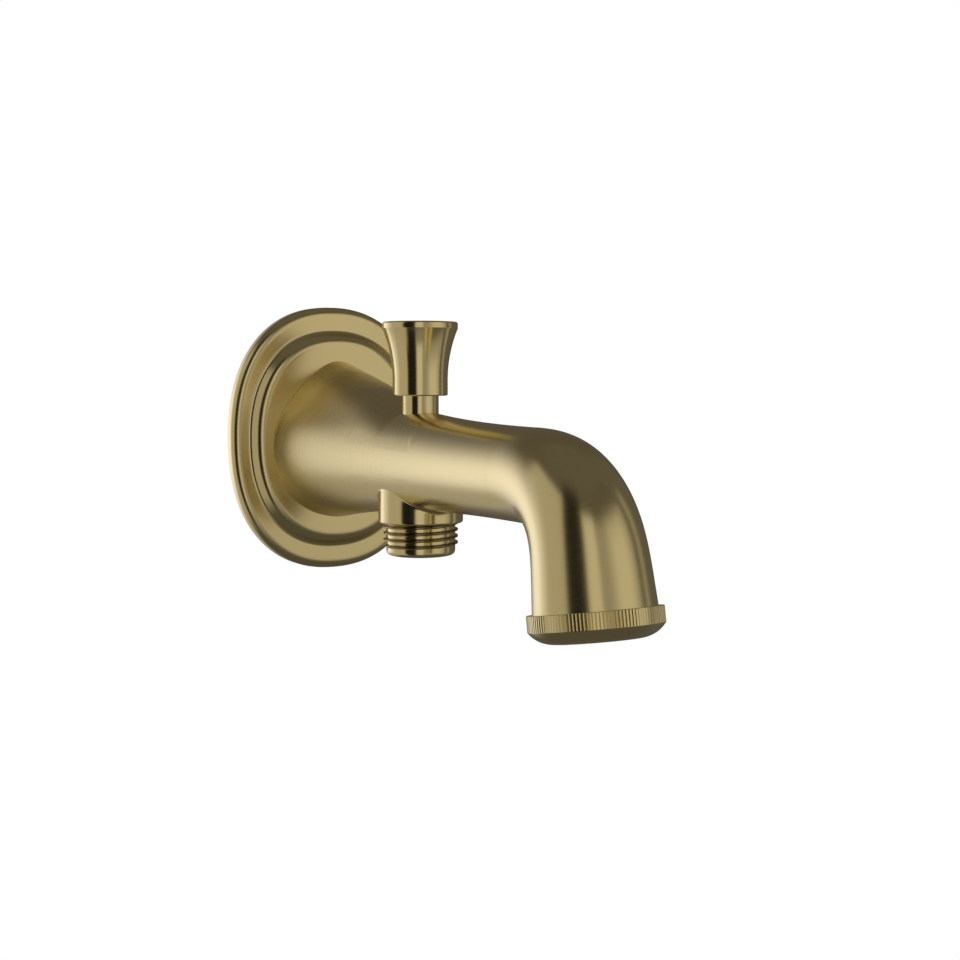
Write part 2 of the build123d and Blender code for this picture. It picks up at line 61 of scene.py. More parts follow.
class Wire:  # a shader output; arithmetic on it adds Math nodes
    def __init__(self, graph, socket):
        self.graph = graph
        self.socket = socket

    def __add__(self, other):
        return self.graph.maths("ADD", self, other)

    def __sub__(self, other):
        return self.graph.maths("SUBTRACT", self, other)

    def __mul__(self, other):
        return self.graph.maths("MULTIPLY", self, other)

    def __rsub__(self, other):
        return self.graph.maths("SUBTRACT", other, self)

    __radd__ = __add__
    __rmul__ = __mul__


class Graph:  # the nodes of one material or of the world
    def __init__(self, owner):
        owner.use_nodes = True
        self.tree = owner.node_tree
        self.tree.nodes.clear()

    # One node: its settings are set first, then each socket gets a value or a link
    def add(self, kind, settings=None, sockets=None, output=0):
        node = self.tree.nodes.new(kind)
        for key, value in (settings or {}).items():
            setattr(node, key, value)
        for key, value in (sockets or {}).items():
            if isinstance(value, Wire):
                self.tree.links.new(value.socket, node.inputs[key])
            else:
                node.inputs[key].default_value = value
        return Wire(self, node.outputs[output]) if len(node.outputs) else node

    def maths(self, operation, first, second):
        return self.add("ShaderNodeMath", {"operation": operation}, {0: first, 1: second})

    # Rises smoothly from 0 to 1 while the value goes from start to end
    def rise(self, value, start, end):
        sockets = {"Value": value, "From Min": start, "From Max": end}
        return self.add("ShaderNodeMapRange", {"interpolation_type": "SMOOTHSTEP"}, sockets)

    # One of a place's coordinates
    def axis(self, place, name):
        return self.add("ShaderNodeSeparateXYZ", {}, {"Vector": place}, name)

    # Noise on coordinates stretched by one scale for each axis
    def noise(self, place, stretch, detail=3.0, roughness=0.5):
        scaled = self.add("ShaderNodeVectorMath", {"operation": "MULTIPLY"}, {0: place, 1: stretch})
        sockets = {"Vector": scaled, "Scale": 1.0, "Detail": detail, "Roughness": roughness}
        return self.add("ShaderNodeTexNoise", {}, sockets)

    # Mix of two colours, each given as its numbers or as an output
    def mixColour(self, share, first, second):
        first, second = (colour if isinstance(colour, Wire) else (*colour, 1) for colour in (first, second))
        return self.add("ShaderNodeMix", {"data_type": "RGBA"}, {0: share, 6: first, 7: second}, 2)

    # The end of a piece's material: one shader, with fine relief from the finish's own pattern
    def surface(self, tint, rough, relief, finish, metallic):
        normal = self.add("ShaderNodeBump", {}, {
            "Height": relief, "Strength": finish["bump"], "Distance": finish["bumpDepth"] * mm})
        self.finish(self.add("ShaderNodeBsdfPrincipled", {}, {
            "Base Color": tint, "Metallic": metallic, "Roughness": rough, "Normal": normal}))

    def finish(self, shader, kind="ShaderNodeOutputMaterial"):
        self.add(kind, {}, {"Surface": shader})


def newGraph(name):
    material = bpy.data.materials.new(name)
    return material, Graph(material)


brush = {"stretch": 0.02, "cloudShare": 0.7, "polishFade": (440, 450), "polishMark": 500}


# Plated metal on the piece's own map, in millimetres: brush lines run round the piece, and
# wide soft clouds change the colour and the roughness a little
def platedMetal(name, finish):
    material, graph = newGraph(name)
    place = graph.add("ShaderNodeUVMap", {"uv_map": "finishMap"})
    perMm = finish["linesPerMm"]
    lines = graph.noise(place, (perMm, perMm * brush["stretch"], 1), roughness=0.6)
    solid = graph.add("ShaderNodeTexCoord", output="Object")
    clouds = graph.noise(solid, (finish["clouds"],) * 3, roughness=0.55)
    mottle = clouds * brush["cloudShare"] + lines * (1 - brush["cloudShare"])
    tint = graph.mixColour(mottle, finish["deep"], finish["light"])
    if "paintedShade" in finish:  # painted shade: the ridges of a thread that stands about an upright axis are darkened, in place of the dark reflections of its flanks
        x = graph.axis(solid, "X") * (1 / mm)
        y = graph.axis(solid, "Y") * (1 / mm) + finish["threadReach"]
        start, end = finish["paintedShadeRadii"]
        # Mask of the painted shade: 0 near the thread's root, 1 from a little above it up to the crest
        ridge = graph.rise(x * x + y * y, start ** 2, end ** 2)
        tint = graph.mixColour(ridge * finish["paintedShadeShare"], tint, finish["paintedShade"])
    rough = finish["roughness"] + (lines - 0.5) * finish["lineRoughness"]
    rough = rough + (clouds - 0.5) * finish["cloudRoughness"]
    if "wallRoughness" in finish:  # the brushing is coarser towards the wall
        reach = graph.axis(solid, "Y") * (-1 / mm)
        rough = rough + (1 - graph.rise(reach, *finish["wallFade"])) * finish["wallRoughness"]
    if "polished" in finish:  # parts that lie far along the map are polished
        bright = graph.rise(graph.axis(place, "X"), *brush["polishFade"])
        rough = rough * (1 - bright) + bright * finish["polished"]
    graph.surface(tint, rough, lines, finish, 1.0)
    return material


satinBrassFinish = {
    "light": (0.83, 0.70, 0.36), "deep": (0.78, 0.65, 0.33), "roughness": 0.21, "polished": 0.14,
    "linesPerMm": 2.2, "lineRoughness": 0.08, "cloudRoughness": 0.05, "clouds": 60.0,
    "bump": 0.06, "bumpDepth": 0.02}
bodyBrassFinish = {**satinBrassFinish, "wallRoughness": 0.075, "wallFade": (40, 135)}
brightBrassFinish = {
    "light": (0.83, 0.70, 0.36), "deep": (0.80, 0.67, 0.34), "roughness": 0.14, "linesPerMm": 4.0,
    "lineRoughness": 0.03, "cloudRoughness": 0.03, "clouds": 90.0, "bump": 0.02, "bumpDepth": 0.01}
rawBrassFinish = {
    "light": (0.78, 0.60, 0.30), "deep": (0.66, 0.48, 0.22), "roughness": 0.27, "linesPerMm": 4.0,
    "lineRoughness": 0.14, "cloudRoughness": 0.10, "clouds": 120.0, "bump": 0.15, "bumpDepth": 0.03}
springSteelFinish = {
    "light": (0.62, 0.63, 0.64), "deep": (0.50, 0.51, 0.52), "roughness": 0.28, "linesPerMm": 6.0,
    "lineRoughness": 0.12, "cloudRoughness": 0.08, "clouds": 150.0, "bump": 0.08, "bumpDepth": 0.02}
satinBrass = platedMetal("satinBrass", satinBrassFinish)
bodyBrass = platedMetal("bodyBrass", bodyBrassFinish)
brightBrass = platedMetal("brightBrass", brightBrassFinish)
rawBrass = platedMetal("rawBrass", rawBrassFinish)
springSteel = platedMetal("springSteel", springSteelFinish)


# Turned metal for the CAD parts inside, which have no map: lines of height on Object coordinates
def turnedMetal(name, finish):
    material, graph = newGraph(name)
    solid = graph.add("ShaderNodeTexCoord", output="Object")
    lines = graph.noise(solid, (finish["clouds"], finish["clouds"], finish["lines"]), roughness=0.6)
    tint = graph.mixColour(lines, finish["deep"], finish["light"])
    rough = finish["roughness"] + (lines - 0.5) * finish["lineRoughness"]
    graph.surface(tint, rough, lines, finish, 1.0)
    return material


innerBrassFinish = {
    "light": (0.78, 0.60, 0.30), "deep": (0.62, 0.45, 0.20), "roughness": 0.30, "lineRoughness": 0.15,
    "clouds": 200.0, "lines": 5000.0, "bump": 0.12, "bumpDepth": 0.02}
strainerFinish = {
    "light": (0.62, 0.63, 0.64), "deep": (0.48, 0.49, 0.50), "roughness": 0.32, "lineRoughness": 0.12,
    "clouds": 1500.0, "lines": 1500.0, "bump": 0.10, "bumpDepth": 0.02}
innerBrass = turnedMetal("innerBrass", innerBrassFinish)
strainerSteel = turnedMetal("strainerSteel", strainerFinish)


# Moulded rubber or plastic: fine grain with a soft cloud over it
def moulded(name, finish):
    material, graph = newGraph(name)
    solid = graph.add("ShaderNodeTexCoord", output="Object")
    clouds = graph.noise(solid, (finish["clouds"],) * 3)
    grain = graph.noise(solid, (finish["grain"],) * 3, roughness=0.65)
    mottle = clouds * finish["cloudShare"] + grain * (1 - finish["cloudShare"])
    tint = graph.mixColour(mottle, finish["deep"], finish["light"])
    rough = finish["roughness"] + (grain - 0.5) * finish["grainRoughness"]
    graph.surface(tint, rough, grain, finish, 0.0)
    return material


blackRubberFinish = {
    "light": (0.040, 0.040, 0.042), "deep": (0.020, 0.020, 0.021), "roughness": 0.62, "grainRoughness": 0.2,
    "clouds": 300.0, "cloudShare": 0.6, "grain": 4000.0, "bump": 0.25, "bumpDepth": 0.03}
whitePlasticFinish = {
    "light": (0.80, 0.80, 0.78), "deep": (0.72, 0.72, 0.69), "roughness": 0.42, "grainRoughness": 0.12,
    "clouds": 200.0, "cloudShare": 0.6, "grain": 5000.0, "bump": 0.10, "bumpDepth": 0.02}
blackRubber = moulded("blackRubber", blackRubberFinish)
whitePlastic = moulded("whitePlastic", whitePlasticFinish)
print("materials made:", len(bpy.data.materials))


# A map of rows and columns from the place along each
def crossMap(along, around):
    return np.stack(np.broadcast_arrays(along[:, None], around[None]), -1)


# A grid of points, closed round its columns, as points, quads and the quads' map corners
def gridPatch(points, uv, keep=None):
    rows, columns = points.shape[:2]
    i, j = np.meshgrid(np.arange(rows - 1), np.arange(columns), indexing="ij")
    keep = np.ones(i.shape, bool) if keep is None else keep
    i, j = i[keep], j[keep]
    after = (j + 1) % columns
    quads = np.stack([
        i * columns + j, i * columns + after, (i + 1) * columns + after, (i + 1) * columns + j], 1)
    corners = np.stack([uv[i, j], uv[i, j + 1], uv[i + 1, j + 1], uv[i + 1, j]], 1)
    return points.reshape(-1, 3), quads, corners


weldGap = 5e-4  # points of a piece that are closer than this are one


# One object from patches, welded where they meet, with its faces outwards and its creases sharp
def makePiece(name, patches, material, body, node, sharpAngle=32):
    starts = np.cumsum([0] + [len(p[0]) for p in patches])
    points = np.concatenate([p[0] for p in patches]) * mm
    quads = np.concatenate([p[1] + s for p, s in zip(patches, starts)])
    corners = np.concatenate([p[2] for p in patches])
    mesh = bpy.data.meshes.new(name)
    mesh.from_pydata(points.tolist(), [], quads.tolist())
    mesh.uv_layers.new(name="finishMap").data.foreach_set("uv", corners.astype(np.float32).ravel())
    shaped = bmesh.new()
    shaped.from_mesh(mesh)
    bmesh.ops.remove_doubles(shaped, verts=shaped.verts, dist=weldGap * mm)
    bmesh.ops.recalc_face_normals(shaped, faces=shaped.faces)
    shaped.to_mesh(mesh)
    shaped.free()
    mesh.polygons.foreach_set("use_smooth", np.ones(len(mesh.polygons), bool))
    mesh.set_sharp_from_angle(angle=np.radians(sharpAngle))
    mesh.materials.append(material)
    piece = bpy.data.objects.new(name, mesh)
    bpy.context.scene.collection.objects.link(piece)
    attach(piece, body)
    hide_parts(node)
    print(name, "made:", len(mesh.polygons), "faces")
    return piece


# Length along a path up to each of its points
def runAlong(path):
    return np.concatenate([[0], np.cumsum(np.linalg.norm(np.diff(path, axis=0), axis=-1))])


# Path through rows of (across, along, round): straight runs, with an arc that touches both runs
# wherever there is a round
def roundedPath(rows, arcSteps=8):
    rows = np.array(rows, float)
    points = [rows[:1, :2]]
    for before, here, after in zip(rows[:-2], rows[1:-1], rows[2:]):
        corner, rounding = here[:2], here[2]
        if rounding == 0:
            points.append(corner[None])
            continue
        back = (before[:2] - corner) / np.linalg.norm(before[:2] - corner)
        on = (after[:2] - corner) / np.linalg.norm(after[:2] - corner)
        half = np.arccos(np.clip(back @ on, -1, 1)) / 2
        middle = (back + on) / np.linalg.norm(back + on)
        centre = corner + middle * rounding / np.sin(half)
        sweep = np.pi - 2 * half
        share = np.linspace(0, 1, arcSteps + 1)[:, None]
        first = corner + back * rounding / np.tan(half) - centre
        last = corner + on * rounding / np.tan(half) - centre
        arc = np.sin((1 - share) * sweep) * first + np.sin(share * sweep) * last
        points.append(centre + arc / np.sin(sweep))
    points.append(rows[-1:, :2])
    return np.concatenate(points)


# Two more points close to the ends of each long run, so that flats shade flat beside their rounds
def holdEnds(path, hold=0.12):
    step = np.diff(path, axis=0)
    length = np.linalg.norm(step, axis=1)
    far = np.flatnonzero(length > 4 * hold)
    unit = step[far] / length[far, None]
    extra = np.stack([path[far] + unit * hold, path[far + 1] - unit * hold], 1).reshape(-1, 2)
    return np.insert(path, np.repeat(far + 1, 2), extra, axis=0)


# The same path with points no further apart than this step
def divided(path, step):
    run = runAlong(path)
    stops = np.union1d(run, np.arange(0, run[-1], step))
    return np.stack([np.interp(stops, run, path[:, 0]), np.interp(stops, run, path[:, 1])], 1)


# A profile of (radius, height) turned about an axis through base:
# base + height along the axis + radius * (cos(angle) * side + sin(angle) * other);
# carve may change the radius from row to row and round the turn
def turned(profile, base, axis=(0, 0, 1), side=(1, 0, 0), columns=96, carve=None):
    angle = np.linspace(0, fullTurn, columns, endpoint=False)
    axis, side = np.array(axis, float), np.array(side, float)
    radius = np.repeat(profile[:, :1], columns, 1)
    if carve is not None:
        radius = carve(radius, profile[:, 1:], angle[None])
    out = np.cos(angle)[:, None] * side + np.sin(angle)[:, None] * np.cross(axis, side)
    points = np.array(base, float) + profile[:, 1, None, None] * axis + radius[..., None] * out
    around = np.linspace(0, fullTurn, columns + 1) * profile[:, 0].max()
    return gridPatch(points, crossMap(runAlong(profile), around))


# Radius of a right-hand thread: a root, from which a ridge with S-shaped flanks rises to the crest once
# each pitch; rootShare of each pitch is plain root, and flankShare of it is flanks
def threadRadius(crest, depth, pitch, height, angle, start=0.0, rootShare=0.08, flankShare=0.5):
    phase = (height - start) / pitch - angle / fullTurn
    slope = np.abs(2 * (phase - np.floor(phase)) - 1)  # 1 at the crest, 0 at the root
    flank = np.clip((slope - rootShare) / flankShare, 0, 1)
    return crest - depth * (1 - flank ** 2 * (3 - 2 * flank))


# Radius of a hexagon this wide across its flats
def hexRadius(flats, angle):
    sixth = fullTurn / 6
    return flats / 2 / np.cos((angle + sixth / 2) % sixth - sixth / 2)


# Wall flange: a plate between ovals, |x / half width|^power + |z / half height|^power = 1. The rim's
# profile is set in along the rim's normal, and the step goes in a straight run from its foot's oval
# to its upper oval
flange = {
    "power": 2.25, "edge": 5.2, "edgeRound": 2.8, "edgeFlat": 0.4, "backRound": 0.25,
    "stepInsets": (5.4, 7.7), "stepRun": 2.5, "stepLead": 1, "stepTail": 2, "stepBlend": 1.6,
    "stepRound": 3.2, "wall": 1.8, "holeRadius": 15, "arcSteps": 12, "columns": 256}
flangeLow, flangeHigh = boxOf("wall_flange")
flangeFace = -flangeLow[1]


def flangePatch(s):
    angle = np.linspace(0, fullTurn, s["columns"], endpoint=False)
    way = np.stack([np.cos(angle), np.sin(angle)], -1)

    def oval(half):
        return way * ((np.abs(way) / half) ** s["power"]).sum(1, keepdims=True) ** (-1 / s["power"])

    # Rows of an outline, each at its height from the wall
    def layer(outlines, heights):
        outlines, heights = np.broadcast_arrays(outlines, np.array(heights)[:, None, None])
        return np.stack([outlines[..., 0], -heights[..., 0], outlines[..., 1]], -1)

    rimHalf = (flangeHigh - flangeLow)[[0, 2]] / 2
    footHalf = rimHalf - s["stepInsets"]
    upperHalf = footHalf - s["stepRun"]
    rim, foot, upper = oval(rimHalf), oval(footHalf), oval(upperHalf)
    normal = np.sign(rim) * (np.abs(rim) / rimHalf) ** (s["power"] - 1) / rimHalf
    normal = normal / np.linalg.norm(normal, axis=1, keepdims=True)
    edge, run = s["edge"], s["stepRun"]
    rimRows = roundedPath([
        (s["wall"], 0, 0), (0, 0, s["backRound"]), (0, edge, s["edgeRound"]),
        (s["edgeRound"] + s["edgeFlat"], edge, 0)], s["arcSteps"])
    stepRows = holdEnds(roundedPath([
        (-s["stepLead"], edge, 0), (0, edge, s["stepBlend"]), (run, flangeFace, s["stepRound"]),
        (run + s["stepTail"], flangeFace, 0)], s["arcSteps"]))
    hollow, hollowFoot = oval(upperHalf - s["wall"]), oval(rimHalf - s["wall"])
    deep, shallow = flangeFace - s["wall"], edge - s["wall"]
    points = np.concatenate([
        layer(rim - rimRows[:, :1, None] * normal, rimRows[:, 1]),
        layer(foot + stepRows[:, :1, None] / run * (upper - foot), stepRows[:, 1]),
        layer(way * s["holeRadius"], (flangeFace, deep)),
        layer(hollow, (deep, shallow)),
        layer(hollowFoot, (shallow, 0))])
    closed = np.concatenate([points[0], points[0, :1]])
    return gridPatch(points, crossMap(runAlong(points[:, 0]), runAlong(closed)))


makePiece("flangePlate", [flangePatch(flange)], satinBrass, "spout", "wall_flange")

# Body: an egg-shaped root narrows to a round arm, then a bent nose that grows evenly to the outlet
spout = {
    "rootRadius": 22, "rootAxis": -2.5, "rootRound": 0.25, "crestHeight": 4.9, "crestLength": 55,
    "crestSharpness": 0.5, "waistRadius": 11.75, "armAxis": -4.15, "flarePower": 2.4, "outlinePoints": 16,
    "outletReach": 152.4, "outletHeight": -33, "outletLean": 10, "elbowRadius": 20.5, "elbowEase": 7,
    "outletRadius": 14.4, "outletBore": 12.05, "outletBoreDepth": 9.1, "armBore": 7, "armBoreDepth": 5,
    "registerRadius": 14.85, "registerLength": 2.4, "socketRadius": 10.53, "socketDepth": 24.1,
    "wayRadius": 4.5, "wayEnd": (55.1, -7.0), "columns": 144, "roundRows": 7, "armRows": 44,
    "windowRows": 35, "elbowRows": 72, "noseRows": 8, "easeSteps": 33}
boss = {
    "radius": 11.88, "bottom": -21, "edgeRound": 0.7, "fillet": 1.2, "bore": 9.05, "boreChamfer": 0.1,
    "boreTop": -14.3, "chamber": 8.0, "chamberTop": -2.8, "seatWay": 5.18, "neckEdge": 0.12,
    "windowReach": 17, "windowColumns": 58, "lowerRows": 12, "upperRows": 14, "rowCrowding": 0.8,
    "slopeStep": 0.2, "filletRows": 8, "wallShares": (0.15, 0.5, 0.9, 1.0)}
knobLow, knobHigh = boxOf("diverter_knob")
diverterReach = -(knobLow[1] + knobHigh[1]) / 2
lean = np.radians(spout["outletLean"])
bendTurn = quarterTurn - lean
elbowDrop = spout["elbowRadius"] * (1 - np.cos(bendTurn))
noseLength = (spout["armAxis"] - elbowDrop - spout["outletHeight"]) / np.cos(lean)
elbowReach = spout["outletReach"] - noseLength * np.sin(lean) - spout["elbowRadius"] * np.sin(bendTurn)


# Closed curve through evenly numbered points: a periodic cubic spline, read at any number between them
def closedSpline(samples, number):
    count = samples.shape[-2]
    ring = 4 * np.eye(count) + np.roll(np.eye(count), 1, 0) + np.roll(np.eye(count), -1, 0)
    bend = np.linalg.inv(ring) @ (6 * (np.roll(samples, -1, -2) - 2 * samples + np.roll(samples, 1, -2)))
    here = np.floor(number).astype(int)
    share = (number - here)[..., None]

    def pick(values, place):
        return np.take_along_axis(values, (place % count)[..., None, None], -2)[..., 0, :]

    curve = (1 - share) * pick(samples, here) + share * pick(samples, here + 1)
    curve += ((1 - share) ** 3 - (1 - share)) * pick(bend, here) / 6
    return curve + (share ** 3 - share) * pick(bend, here + 1) / 6


# Sideways place and height of the arm's skin at a reach from the wall and an angle round the section.
# The outline goes round two circles and their tangents: a lower one, and one that stands above it
# by the rise. A rise under tiny is none, and a tangent is followed as far as the angle steep
def armOutline(s, reach, angle, tiny=1e-9, steep=1.4):
    along = (reach - flangeFace) / (elbowReach - flangeFace)
    swell = np.clip(1 - along, 0, 1) ** s["flarePower"]
    lower = s["waistRadius"] + (s["rootRadius"] - s["waistRadius"]) * swell
    centre = s["armAxis"] + (s["rootAxis"] - s["armAxis"]) * swell
    fade = np.clip((reach - flangeFace) / s["crestLength"], 0, 1)
    upper = lower * (s["crestSharpness"] + (1 - s["crestSharpness"]) * fade)
    rise = lower - upper + s["crestHeight"] * (1 - fade ** 2)
    lower, centre, upper, rise = (value[..., None] for value in (lower, centre, upper, rise))
    knots = np.linspace(0, fullTurn, s["outlinePoints"], endpoint=False)
    climb = np.arcsin(np.sin(knots))
    touch = np.arcsin(np.clip((lower - upper) / np.maximum(rise, tiny), -1, 1))
    touch = np.where(rise > tiny, touch, quarterTurn)
    touchLength = np.sqrt(np.maximum(rise ** 2 - (lower - upper) ** 2, 0))
    past = climb - touch
    followed = np.clip(past, 0, steep)
    onTangent = lower / np.cos(followed)
    onUpper = rise * np.sin(climb) + np.sqrt(np.maximum(upper ** 2 - (rise * np.cos(climb)) ** 2, 0))
    radius = np.where(lower * np.tan(followed) <= touchLength, onTangent, onUpper)
    radius = np.where(past <= 0, lower, radius)
    samples = np.stack([radius * np.cos(knots), centre + radius * np.sin(knots)], -1)
    return closedSpline(samples, angle / fullTurn * s["outlinePoints"])


# Height of the arm's skin above or below a point of the plan, found by sliding the angle until
# the side fits
def skinHeight(s, x, y, side, attempts=24, mostTurn=0.2):
    angle = side * np.arccos(np.clip(x / s["rootRadius"], -1, 1))
    for attempt in range(attempts):
        found = armOutline(s, -y, angle)
        size = np.hypot(found[..., 0], found[..., 1] - s["armAxis"])
        slide = (found[..., 0] - x) / (size * np.sin(angle))
        angle = angle + np.clip(slide, -mostTurn, mostTurn)
    return armOutline(s, -y, angle)[..., 1]


def bodyPatches(s, b):
    columns = s["columns"]
    # The first column runs along the underside
    angle = np.linspace(0, fullTurn, columns, endpoint=False) - quarterTurn
    away = np.stack([np.cos(angle), np.sin(angle)], -1)
    ease = s["elbowEase"]

    def circle(radius, reach, height):
        return np.stack([radius * away[:, 0], np.full(columns, -reach), height + radius * away[:, 1]], -1)

    # Inlet side: the slanting way, the socket, the register and the root's face with its round
    registerBack = flangeFace - s["registerLength"]
    wayReach, wayHeight = s["wayEnd"]
    inside = [
        circle(0, wayReach, wayHeight), circle(s["wayRadius"], wayReach, wayHeight),
        circle(s["wayRadius"], s["socketDepth"], 0), circle(s["socketRadius"], s["socketDepth"], 0),
        circle(s["socketRadius"], registerBack, 0), circle(s["registerRadius"], registerBack, 0),
        circle(s["registerRadius"], flangeFace, 0)]
    quarter = np.linspace(0, quarterTurn, s["roundRows"])
    rootReach = flangeFace + s["rootRound"] * (1 - np.cos(quarter))
    rootInset = s["rootRound"] * (1 - np.sin(quarter))
    low, high = diverterReach - b["windowReach"], diverterReach + b["windowReach"]
    armReach = np.concatenate([
        rootReach, np.linspace(rootReach[-1], low, s["armRows"])[1:],
        np.linspace(low, high, s["windowRows"])[1:],
        np.linspace(high, elbowReach - ease, s["armRows"])[1:-1]])
    flat = armOutline(s, *np.broadcast_arrays(armReach[:, None], angle[None]))
    inset = np.concatenate([rootInset, np.zeros(len(armReach) - len(rootInset))])
    flat = flat - inset[:, None, None] * away
    arm = np.stack([flat[..., 0], np.repeat(-armReach[:, None], columns, 1), flat[..., 1]], -1)

    # Elbow and nose: circles across the bent centre line, whose place, tilt and width are averaged
    # over a stretch of the line, so that the bend starts and ends gently
    bendLength = s["elbowRadius"] * bendTurn
    end = bendLength + noseLength
    run = np.concatenate([
        np.linspace(-ease, bendLength + ease, s["elbowRows"]),
        np.linspace(bendLength + ease, end, s["noseRows"])[1:]])

    def eased(run):
        return run[:, None] + np.linspace(-ease, ease, s["easeSteps"])

    def across(run, radius):
        spread = eased(run)
        tilt = np.clip(spread / s["elbowRadius"], 0, bendTurn)
        straight = spread - tilt * s["elbowRadius"]
        reach = elbowReach + s["elbowRadius"] * np.sin(tilt) + straight * np.cos(tilt)
        height = s["armAxis"] - s["elbowRadius"] * (1 - np.cos(tilt)) - straight * np.sin(tilt)
        reach, height, tilt = (value.mean(1, keepdims=True) for value in (reach, height, tilt))
        x, up = radius[:, None] * np.cos(angle), radius[:, None] * np.sin(angle)
        return np.stack([x, -reach - up * np.sin(tilt), height + up * np.cos(tilt)], -1)

    growth = np.maximum(eased(run), 0).mean(1) / end
    nose = across(run, s["waistRadius"] + (s["outletRadius"] - s["waistRadius"]) * growth)
    boreEnd = end - s["outletBoreDepth"]
    armBoreEnd = boreEnd - s["armBoreDepth"]
    throat = across(
        np.array([end, boreEnd, boreEnd, armBoreEnd, armBoreEnd]),
        np.array([s["outletBore"], s["outletBore"], s["armBore"], s["armBore"], 0]))
    points = np.concatenate([np.array(inside), arm, nose, throat])

    # Map, with a window under the arm for the boss and one on top for the neck
    length = runAlong(points[:, columns // 4])
    uv = crossMap(length, np.linspace(0, fullTurn, columns + 1) * s["waistRadius"])
    first = len(inside) + len(rootReach) + s["armRows"] - 2  # the row at the windows' near end
    rows = first + np.arange(s["windowRows"])
    half, middle = b["windowColumns"] // 2, columns // 2
    keep = np.ones((len(points) - 1, columns), bool)
    keep[rows[0]:rows[-1], :half] = False
    keep[rows[0]:rows[-1], -half:] = False
    keep[rows[0]:rows[-1], middle - half:middle + half] = False

    # The border of a window, from its near left corner and round by the left side
    def border(leftColumn, rightColumn):
        steps = b["windowColumns"]
        toRight = np.linspace(leftColumn, rightColumn, steps + 1).astype(int)
        i = np.concatenate([rows[:-1], np.full(steps, rows[-1]), rows[:0:-1], np.full(steps, rows[0])])
        j = np.concatenate([
            np.full(len(rows) - 1, leftColumn), toRight[:-1],
            np.full(len(rows) - 1, rightColumn), toRight[:0:-1]])
        return points[i, j % columns]

    # Where a border's points lie in plan, as seen from the diverter's axis
    def headings(edge):
        offset = edge[:, :2] - np.array([0, -diverterReach])
        heading = np.arctan2(offset[:, 1], offset[:, 0])
        return offset, heading, np.stack([np.cos(heading), np.sin(heading)], -1)

    # Skin between the border and a round hole: straight in plan, laid on the arm
    def skin(edge, holeRadius, side, steps):
        offset = headings(edge)[0]
        far = np.hypot(*offset.T)
        share = np.linspace(0, 1, steps)[1:, None] ** b["rowCrowding"]
        size = far * (1 - share) + holeRadius * share
        x = size * offset[:, 0] / far
        y = size * offset[:, 1] / far - diverterReach
        laid = np.stack([x, y, skinHeight(s, x, y, side)], -1)
        grid = np.concatenate([edge[None], laid])
        lengths = np.interp(-grid[..., 1], armReach, length[len(inside):len(inside) + len(armReach)])
        turnedBy = (np.arctan2(grid[..., 2] - s["armAxis"], grid[..., 0]) + quarterTurn) % fullTurn
        if side < 0:
            turnedBy = (turnedBy + np.pi) % fullTurn - np.pi
        skinMap = np.stack([lengths, turnedBy * s["waistRadius"]], -1)
        return grid, np.concatenate([skinMap, skinMap[:, :1]], 1)

    # Rings about the diverter's axis, from a size and a height in each direction
    def rings(size, out, height):
        return np.stack([size * out[:, 0], size * out[:, 1] - diverterReach, height], -1)

    # Boss: the skin meets its wall in a round whose reach follows the angle between the two
    edge = border(-half, half)
    heading, outward = headings(edge)[1:]

    def underside(size):
        plan = outward * size - np.array([0, diverterReach])
        return skinHeight(s, plan[:, 0], plan[:, 1], -1)

    meets = underside(b["radius"])
    slope = (underside(b["radius"] + b["slopeStep"]) - meets) / b["slopeStep"]
    tangent = b["fillet"] * np.tan(np.arctan2(1, slope) / 2)
    filletRadius = b["radius"] + tangent / np.hypot(1, slope)
    lowerSkin, lowerUv = skin(edge, filletRadius, -1, b["lowerRows"])
    share = np.linspace(0, 1, b["filletRows"])[:, None]
    fromSkin = (1 - share) ** 2
    wallHeight = meets - tangent
    filletSize = fromSkin * filletRadius + (1 - fromSkin) * b["radius"]
    filletHeight = (
        fromSkin * lowerSkin[-1, :, 2] + 2 * share * (1 - share) * meets + share ** 2 * wallHeight)
    wallEnd = b["bottom"] + b["edgeRound"]
    wallShare = np.array(b["wallShares"])[:, None]
    wallRows = wallHeight * (1 - wallShare) + wallEnd * wallShare
    drop = quarter[1:]
    edgeRows = np.stack([
        b["radius"] - b["edgeRound"] * (1 - np.cos(drop)), wallEnd - b["edgeRound"] * np.sin(drop)], -1)
    under = np.array([
        (b["bore"] + b["boreChamfer"], b["bottom"]), (b["bore"], b["bottom"] + b["boreChamfer"]),
        (b["bore"], b["boreTop"]), (b["chamber"], b["boreTop"]), (b["chamber"], b["chamberTop"]),
        (b["seatWay"], b["chamberTop"])])
    insideRows = np.repeat(np.concatenate([edgeRows, under])[..., None], len(heading), -1)
    size = np.concatenate([filletSize, np.full(wallRows.shape, b["radius"]), insideRows[:, 0]])
    bossGrid = rings(size, outward, np.concatenate([filletHeight, wallRows, insideRows[:, 1]]))

    # Hole for the neck, on top: down to the valve seat, where the way from below ends
    topEdge = border(middle + half, middle - half)
    topOut = headings(topEdge)[2]
    holeRadius = np.full(len(topEdge), b["seatWay"] + b["neckEdge"])
    upperSkin, upperUv = skin(topEdge, holeRadius, 1, b["upperRows"])
    rim = rings(b["seatWay"], topOut, upperSkin[-1, :, 2] - b["neckEdge"])
    neckGrid = np.stack([upperSkin[-1], rim, bossGrid[-1]])
    bossAround = np.append(np.unwrap(heading), np.unwrap(heading)[0] + fullTurn) * b["radius"]

    # Far along the map, which marks the polished parts
    def polishedPatch(grid):
        return gridPatch(grid, crossMap(runAlong(grid[:, 0]) + brush["polishMark"], bossAround))

    return [gridPatch(points, uv, keep), gridPatch(lowerSkin, lowerUv), polishedPatch(bossGrid),
            gridPatch(upperSkin, upperUv), polishedPatch(neckGrid)]


makePiece("bodyShell", bodyPatches(spout, boss), bodyBrass, "spout", "spout_body")

